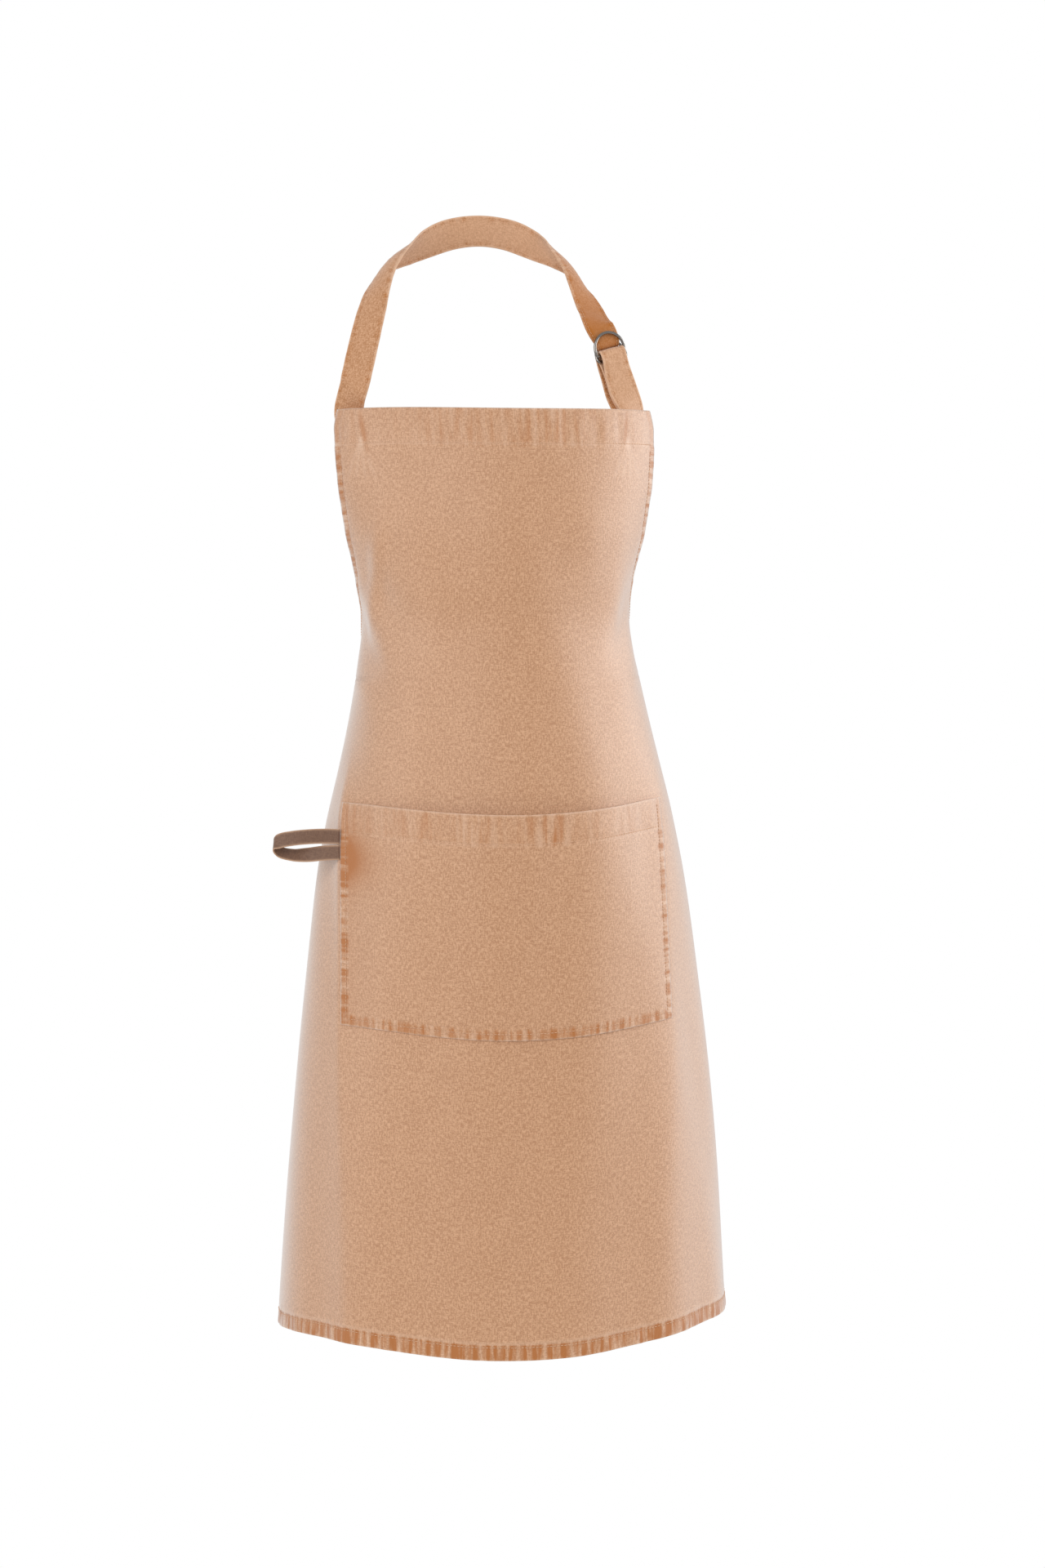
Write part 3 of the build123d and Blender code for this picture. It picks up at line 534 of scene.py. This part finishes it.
def tape(name, rows, width, thick, seed=40, folds=0.35, sewn=1.0, cup=0.0, tone=0.0):
    """Flat tape through rows (x, y, z, nx, ny, nz) in mm, from its inner face outward; cup
    curls the middle out by so many mm; tone below 0 paints shade and above 0 paints light along the
    tape."""
    rows, width = np.asarray(rows, float), np.broadcast_to(width, len(rows)).astype(float)
    walk = np.concatenate([[0], np.cumsum(np.linalg.norm(np.diff(rows[:, :3], axis=0), axis=1))])
    at = np.linspace(0, walk[-1], int(walk[-1] / 1.6) + 2)
    p, n = smooth_rows(walk, rows[:, :3], at), smooth_rows(walk, rows[:, 3:], at)
    half = smooth_rows(walk, width, at) / 2
    t = np.gradient(p, axis=0)
    t /= np.linalg.norm(t, axis=1)[:, None]
    w = np.cross(t, n)
    w /= np.linalg.norm(w, axis=1)[:, None]
    n = np.cross(w, t)
    u = np.concatenate([[-1, -0.985, -0.95, -0.9, -0.85, -0.8], np.linspace(-0.7, 0.7, 9),
                        [0.8, 0.85, 0.9, 0.95, 0.985, 1]])
    x = half[:, None] * u
    r = thick / 2
    past = np.clip(np.abs(x) - (half[:, None] - r), 0, r) / r
    body_h = np.sqrt(np.clip(1 - past ** 2, 0.02, 1))
    groove = 0.16 * sewn * bell(np.abs(x) - half[:, None] + 3.0, 0.8)
    wave = folds * ripple(at, 17, seed)[:, None] * (1 - u * u) ** 0.5
    curl = smooth_rows(walk, np.broadcast_to(cup, len(rows)).astype(float), at)[:, None]
    wave = wave + curl * (1 - u * u)
    wave = wave + 0.18 * sewn * ripple(at[:, None] + 2 * x, 7, seed + 1)
    top = r + r * body_h - groove + wave
    low = r - r * body_h + groove + wave
    k = len(u)
    loop_x = np.concatenate([x, x[:, -2:0:-1]], 1)
    loop_h = np.concatenate([top, low[:, -2:0:-1]], 1)
    v = p[:, None] + loop_x[..., None] * w[:, None] + loop_h[..., None] * n[:, None]
    m = loop_x.shape[1]
    idx = np.arange(len(at) * m).reshape(len(at), m)
    wrap = np.concatenate([idx, idx[:, :1]], 1)
    quads = np.stack([wrap[:-1, :-1], wrap[:-1, 1:], wrap[1:, 1:], wrap[1:, :-1]], -1)
    caps = [idx[0][::-1].tolist(), idx[-1].tolist()]
    uv = np.stack([loop_x + 5 * seed, np.repeat(at[:, None], m, 1)], -1)
    edge = np.abs(loop_x) - half[:, None]
    # Painted highlight along the tape's rounded edges, painted shade in the groove of the edge
    # stitching, plus the tone; blotches along the stitching are painted pucker shade and highlight.
    shade = 0.80 * bell(edge, 1.2) - 0.30 * sewn * bell(edge + 3.0, 1.1) + smooth_rows(
        walk, np.broadcast_to(tone, len(rows)).astype(float), at)[:, None]
    seam = np.stack([0 * edge, 0.45 * sewn * bell(edge + 2, 3), shade], -1)
    obj = build(name, v, quads.reshape(-1, 4), caps, uv, seam)
    obj["run"] = float(walk[-1] / 1000)
    sides = [(p + (sign * (half - 3.0))[:, None] * w + (thick + 0.02) * n
              + (folds * 0.6 * ripple(at, 17, seed))[:, None] * n, n) for sign in (-1, 1)]
    backs = [(q - (thick + 0.04) * m_, -m_) for q, m_ in sides]
    return obj, sides + backs


nape = [(-124, -104.5, -159.6, -0.36, -0.92, 0.18), (-116.5, -98, -126.5, -0.34, -0.90, 0.28),
        (-108.3, -88, -92.7, -0.42, -0.82, 0.38), (-101.2, -74, -69, -0.58, -0.62, 0.50),
        (-94.8, -62, -55.5, -0.68, -0.42, 0.55), (-79.8, -45, -38, -0.75, 0, 0.62),
        (-64.4, -24, -24.4, -0.72, 0.45, 0.52), (-50.5, -11, -14.6, -0.55, 0.75, 0.35),
        (-27.7, -2.5, -4.1, -0.25, 0.95, 0.15), (0, 0, 0, 0, 1, 0.10),
        (27.5, -2.5, -4.1, 0.25, 0.95, 0.15), (48.8, -11, -14.6, 0.55, 0.75, 0.35),
        (62.2, -24, -24.4, 0.72, 0.45, 0.52), (72.8, -44, -38, 0.75, 0, 0.62),
        (84.2, -62, -55.5, 0.70, -0.38, 0.52), (90.7, -74, -69, 0.58, -0.62, 0.48),
        (99, -86, -89, 0.42, -0.84, 0.36)]
ring_corner = np.array([117.5, -103.5, -133.5])
up_strap, across, toward = (np.array(v) for v in (
    (-0.3087, 0.0275, 0.9508), (0.8990, 0.3349, 0.2822), (0.3107, -0.9418, 0.1281)))


def at_ring(t, n, w, dt, dn):
    """Row from the ring corner: t up the ring strap, n outward, w across."""
    return [*(ring_corner + t * up_strap + n * toward + w * across),
            *(dt * up_strap + dn * toward)]


END = -4.6  # how far behind the drape a sewn-on tape's inner face lies
neck_rows = [seat(-152.0, z, END) for z in (-222, -208)]
neck_rows += [[*drape(-156.0, -190, END - 4.0), -0.40, -0.90, 0.12]] + [list(r) for r in nape]
neck_rows += [at_ring(*r) for r in (
    (27, -1.4, -2.2, 0.05, 1), (20, -0.9, -0.9, 0, 1), (15.5, -0.9, -0.2, 0, 1),
    (12.0, -1.0, -0.2, -0.1, 1), (9.8, -1.8, -0.2, -0.5, 0.85), (8.8, -4.2, -0.2, -0.9, 0.45),
    (8.2, -7.4, -0.2, -0.8, 0.6), (4.5, -9.6, -0.3, -0.2, 1), (-3, -9.6, -0.6, 0, 1),
    (-11, -8.0, -1.2, 0.15, 1), (-20, -5.6, -2.0, 0.1, 1), (-34, -5.0, -2.8, 0, 1))]
neck_rows += [seat(135.5, z, END - 4.5) for z in (-195, -215, -240, -270, -298)]
neck_width = [TAPE_WIDE] * 20 + [29.5, 28.5, 27, 25.5, 24.2, 23.4, 23.6, 24.5, 25.5, 27, 28.5,
                                 29.5] + [TAPE_WIDE] * 5
neck_cup = [0] * 6 + [2, 5, 6.5, 3, 0, 0, 0, 0, 0, 3, 6.5, 5, 2, 0] + [0] * 17
# Tone along the neck strap: paler over the crown, painted light, and darker on the run above the
# rings, painted shade.
neck_tone = [0.1] * 7 + [0.3] * 3 + [0.5] * 6 + [0.0, -0.3, -0.5, -0.7, -0.8]
neck_tone += [-0.7] * 6 + [-0.3] * 10
neck, neck_lines = tape("neck_strap_cloth", neck_rows, neck_width, TAPE, seed=40,
                        cup=neck_cup, tone=neck_tone)
ring_rows = [seat(142.0, z, END) for z in (-222, -206, -191)]
ring_rows += [at_ring(t, n, 0, dt, dn) for t, n, dt, dn in (
    (-34, 0.1, 0, 1), (-20, 0.2, 0, 1), (-12, 1.2, 0, 1), (-5, 3.0, 0, 1), (3.6, 3.2, 0, 1),
    (4.9, 2.7, 0.7, 0.7), (5.4, 1.5, 1, 0), (4.8, 0.2, 0.8, -0.6), (3.0, -1.6, 0.6, -0.8),
    (0, -2.9, 0.2, -1), (-4.5, -3.3, 0, -1), (-9, -2.3, 0, -1), (-16, -0.6, 0, -1),
    (-24, -0.2, 0, -1), (-34, -0.1, 0, -1))]
ring_rows += [seat(142.0, z, END - 0.2, -1.0) for z in (-191, -206, -222)]
ring_width = [TAPE_WIDE] * 3 + [29.5, 28.5, 27.4] + [26.6] * 9 + [27.4, 28.5, 29.5]
ring_width += [TAPE_WIDE] * 3
# tone=0.45 paints the ring strap paler all along: painted light, where it faces the front and right
# lights.
ring_tape, ring_lines = tape("ring_strap_cloth", ring_rows, ring_width, TAPE, seed=50,
                             folds=0.05, tone=0.45)
# B06822 is the tape's darker colour: painted shade, with kept dye.
STRAP_CANVAS = canvas("folded_canvas_tape", "#D5A27A", "#B27A4C", "#B06822",
                      sheen=0.3, gloss=0.25)
for obj, lines, node_name in ((neck, neck_lines, "neck_strap"),
                              (ring_tape, ring_lines, "ring_strap")):
    obj.data.materials.append(STRAP_CANVAS)
    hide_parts(node_name)
    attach(obj, "apron")
    stitches("thread_" + node_name, lines, TAPE_THREAD)

# ---- D rings ---------------------------------------------------------------------------
# Two D rings bent from 2.8 mm steel wire and nickel plated, each swinging on its straight
# bar inside the fold of the short strap.
NICKEL = bpy.data.materials.new("nickel_plate")
NICKEL.use_nodes = True
shader = NICKEL.node_tree.nodes["Principled BSDF"]
# Base colour darker than bare nickel: painted reflection of dark surroundings, which the white
# world does not give the rings.
shader.inputs["Base Color"].default_value = srgb("#8C8782")
shader.inputs["Metallic"].default_value = 1.0
shader.inputs["Roughness"].default_value = 0.15
half, bend, leg, WIRE = 15.4, 2.2, 3.8, 1.4
a, b, c = (np.radians(np.linspace(*r)) for r in ((-90, 0, 10), (0, 180, 61), (180, 270, 10)))
bar = np.linspace(-half + bend, half - bend, 14)[1:-1]
outline = np.concatenate([
    np.stack([half - bend + bend * np.cos(a), bend + bend * np.sin(a)], -1),
    np.stack([half * np.cos(b), leg + half * np.sin(b)], -1),
    np.stack([-half + bend + bend * np.cos(c), bend + bend * np.sin(c)], -1),
    np.stack([bar, 0 * bar], -1)])
along_wire = np.roll(outline, -1, 0) - np.roll(outline, 1, 0)
along_wire /= np.linalg.norm(along_wire, axis=1)[:, None]
phi = np.radians(np.arange(0, 360, 20.0))
wire = np.concatenate([
    outline[:, None] + WIRE * np.cos(phi)[None, :, None] * np.stack(
        [along_wire[:, 1], -along_wire[:, 0]], -1)[:, None],
    np.broadcast_to(WIRE * np.sin(phi)[None, :, None], (len(outline), len(phi), 1))], -1)
k = np.arange(wire.shape[0] * wire.shape[1]).reshape(wire.shape[:2])
right, up = np.roll(k, -1, 0), np.roll(k, -1, 1)
wire_quads = np.stack([k, right, np.roll(right, -1, 1), up], -1).reshape(-1, 4)
for name, body_name, (t, n, w), lean, roll in (
        ("d_ring_front", "front_ring", (3.0, 1.5, -0.6), 5.5, 3.0),
        ("d_ring_back", "back_ring", (-3.0, -1.5, 0.4), -8.0, -1.5)):
    cr, sr, cl, sl = (f(math.radians(v)) for v in (roll, lean) for f in (math.cos, math.sin))
    turned = wire @ np.array([[cr, -sr, 0], [sr, cr, 0], [0, 0, 1]]).T
    turned = turned @ np.array([[1, 0, 0], [0, cl, -sl], [0, sl, cl]]).T
    place = ring_corner + t * up_strap + n * toward + w * across
    ring = build(name + "_wire", place + turned @ np.array([across, up_strap, toward]),
                 wire_quads)
    ring.data.materials.append(NICKEL)
    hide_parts(name)
    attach(ring, body_name)

# ---- Hanging loop ----------------------------------------------------------------------
# Flat woven herringbone tape, grey brown, folded in a loop with both ends caught in the
# pocket's left seam; a towel or a finger goes through it.
LOOP_WIDE, LOOP_THICK, LOOP_BEND = 14.0, 1.2, 14.0
start = drape(P_LEFT, -606.0, 1.6)
out_u, out_n = np.array([-0.995, 0.10, 0.0]), np.array([-0.10, -0.995, 0.0])
loop_rows = [[*(start + u * out_u + n * out_n + (0, 0, v)), *(a * out_u + b * out_n + (0, 0, c))]
             for u, v, n, a, b, c in (
    (0.6, 7.4, 0.0, 0, 1, 0), (14, 7.8, 0.8, 0, 1, 0), (30, 7.2, 2.6, -0.05, 1, 0.05),
    (45, 5.6, 3.8, 0, 1, 0.1), (56, 3.2, 3.0, 0.45, 0.9, 0.1), (61.5, -0.6, 0.0, 1, 0.1, 0.1),
    (57.5, -6.0, -3.4, 0.4, -0.75, -0.7), (46, -9.4, -4.0, 0, -0.8, -0.65),
    (32, -9.6, -2.8, 0, -0.95, -0.35), (16, -8.1, -0.8, 0, -1, -0.1),
    (0.6, -7.4, 1.2, 0, -1, 0))]
loop, _ = tape("hanging_loop_tape", loop_rows, LOOP_WIDE, LOOP_THICK, seed=60, folds=0.1,
               sewn=0.0)
loop.data.materials.append(canvas("herringbone_tape", "#84644F", "#6E4F3E", "#5B3C2E",
                                  sheen=0.15, weave=0.6, gloss=0.3))
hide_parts("hanging_loop")
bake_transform(loop)

# ---- Waist ties ------------------------------------------------------------------------
# Two long ties of the same folded canvas, sewn to the skirt's top corners, brought round
# to the back and tied in a bow.
knot = np.array([13.0, 66.0, -468.0])


def from_knot(side, rows):
    """Rows (x, y, z, nx, ny) measured from the knot, mirrored to one side."""
    return [[*(knot + (side * x, y, z)), side * nx, ny, 0.0] for x, y, z, nx, ny in rows]


TIE_WIDE = 26.0
for name, side in (("left", -1), ("right", 1)):
    run = [seat(side * (SKIRT_HALF - d), -466.0, END, -1.0) for d in (20, 11, 2)]
    run += from_knot(side, [(34, -7, 0, 0.1, 1), (22, -3.4, 0, 0.1, 1), (6, -1.6, 0, 0.1, 1)])
    bow = from_knot(side, [
        (4, 1.2, 0, 0, 1), (32, 7, -2, -0.2, 1), (62, 11, -9, 0, 1), (88, 8, -17, 0.4, 0.9),
        (97, 1, -21, 1, 0), (88, -5, -19, 0.4, -0.9), (62, -6, -12, 0, -1),
        (32, -3, -4, 0.1, -1), (4, -0.6, 0, 0, -1)])
    tail = from_knot(side, [
        (14, 1.5, 10, 0, 1), (21, 4.5, -4, 0, 1), (26.5, 6, -24, 0, 1), (30, 8, -80, 0, 1),
        (34, 8, -160, 0, 1), (37, 7, -250, 0, 1), (39, 6, -335, 0, 1)])
    made = []
    for part, rows, wide in (("run", run, TIE_WIDE),
                             ("bow", bow, [16, 24, *[TIE_WIDE] * 5, 24, 16]),
                             ("tail", tail, TIE_WIDE)):
        obj, lines = tape("tie_" + name + "_" + part, rows, wide, TAPE, seed=70 + len(made)
                          + 3 * (side > 0), folds=0.5)
        obj.data.materials.append(STRAP_CANVAS)
        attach(obj, "apron")
        stitches("thread_tie_" + name + "_" + part, lines, TAPE_THREAD)
        made.append(obj)
    if side < 0:
        turn = np.radians(np.linspace(0, 360, 17))
        wrap = [[*(knot + (0, 7.2 * math.cos(a) * (0.85 + 0.15 * math.cos(2 * a)) - 0.6,
                           12.0 * math.sin(a))), 0, math.cos(a), math.sin(a) * 0.6] for a in turn]
        obj, _ = tape("tie_left_knot", wrap, 22.0, TAPE, seed=90, folds=0.8)
        obj.data.materials.append(STRAP_CANVAS)
        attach(obj, "apron")
        made.append(obj)
    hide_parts("waist_tie_" + name)

# ---- Floor, light and camera -----------------------------------------------------------
# A plain pale disc of floor well below the hem, soft light from all round, one large soft
# box in front and a smaller one to each side, and the camera level with the waist.
bpy.ops.mesh.primitive_cylinder_add(vertices=96, radius=1.25, depth=0.02,
                                    location=(0, -0.1, -1.6))
floor = bpy.context.object
floor.name = "floor"
paper = bpy.data.materials.new("white_paper")
paper.use_nodes = True
paper.node_tree.nodes["Principled BSDF"].inputs["Base Color"].default_value = srgb("#F4F4F4")
paper.node_tree.nodes["Principled BSDF"].inputs["Roughness"].default_value = 0.9
floor.data.materials.append(paper)
world = bpy.data.worlds.new("studio")
bpy.context.scene.world = world
world.use_nodes = True
tree = world.node_tree
lit = node(tree, "ShaderNodeMapRange", [
    ("Value", node(tree, "ShaderNodeLightPath").outputs["Is Camera Ray"])])
lit.inputs["To Min"].default_value = 0.6
lit.inputs["To Max"].default_value = 1.0
tree.nodes["Background"].inputs[0].default_value = (1, 1, 1, 1)
tree.links.new(lit.outputs[0], tree.nodes["Background"].inputs[1])


def soft_box(name, place, aim, size, power):
    """Rectangular area light at place looking at aim, in metres and watts."""
    lamp = bpy.data.lights.new(name, "AREA")
    lamp.shape, lamp.size, lamp.size_y, lamp.energy = "RECTANGLE", *size, power
    obj = bpy.data.objects.new(name, lamp)
    bpy.context.scene.collection.objects.link(obj)
    reach = np.array(aim) - np.array(place)
    obj.location = place
    obj.rotation_euler = (math.atan2(math.hypot(*reach[:2]), -reach[2]), 0,
                          math.atan2(-reach[0], reach[1]))


soft_box("front_light", (-1.5, -3.8, 0.9), (0, 0, -0.5), (3.0, 3.0), 51)
soft_box("side_light_right", (2.5, -0.1, 0.3), (0, 0, -0.4), (2.2, 1.7), 42)
soft_box("fill_light_left", (-3.0, -1.6, 0.2), (0, 0, -0.5), (1.6, 2.0), 22)
view = bpy.data.cameras.new("camera")
view.sensor_fit, view.sensor_height, view.lens = "VERTICAL", 36.0, 74.4
camera = bpy.data.objects.new("camera", view)
bpy.context.scene.collection.objects.link(camera)
camera.location = (-0.2329, -3.1411, -0.5374)
camera.rotation_euler = (math.radians(90), 0, math.radians(-5))
bpy.context.scene.camera = camera
bpy.context.scene.view_settings.view_transform = "Standard"
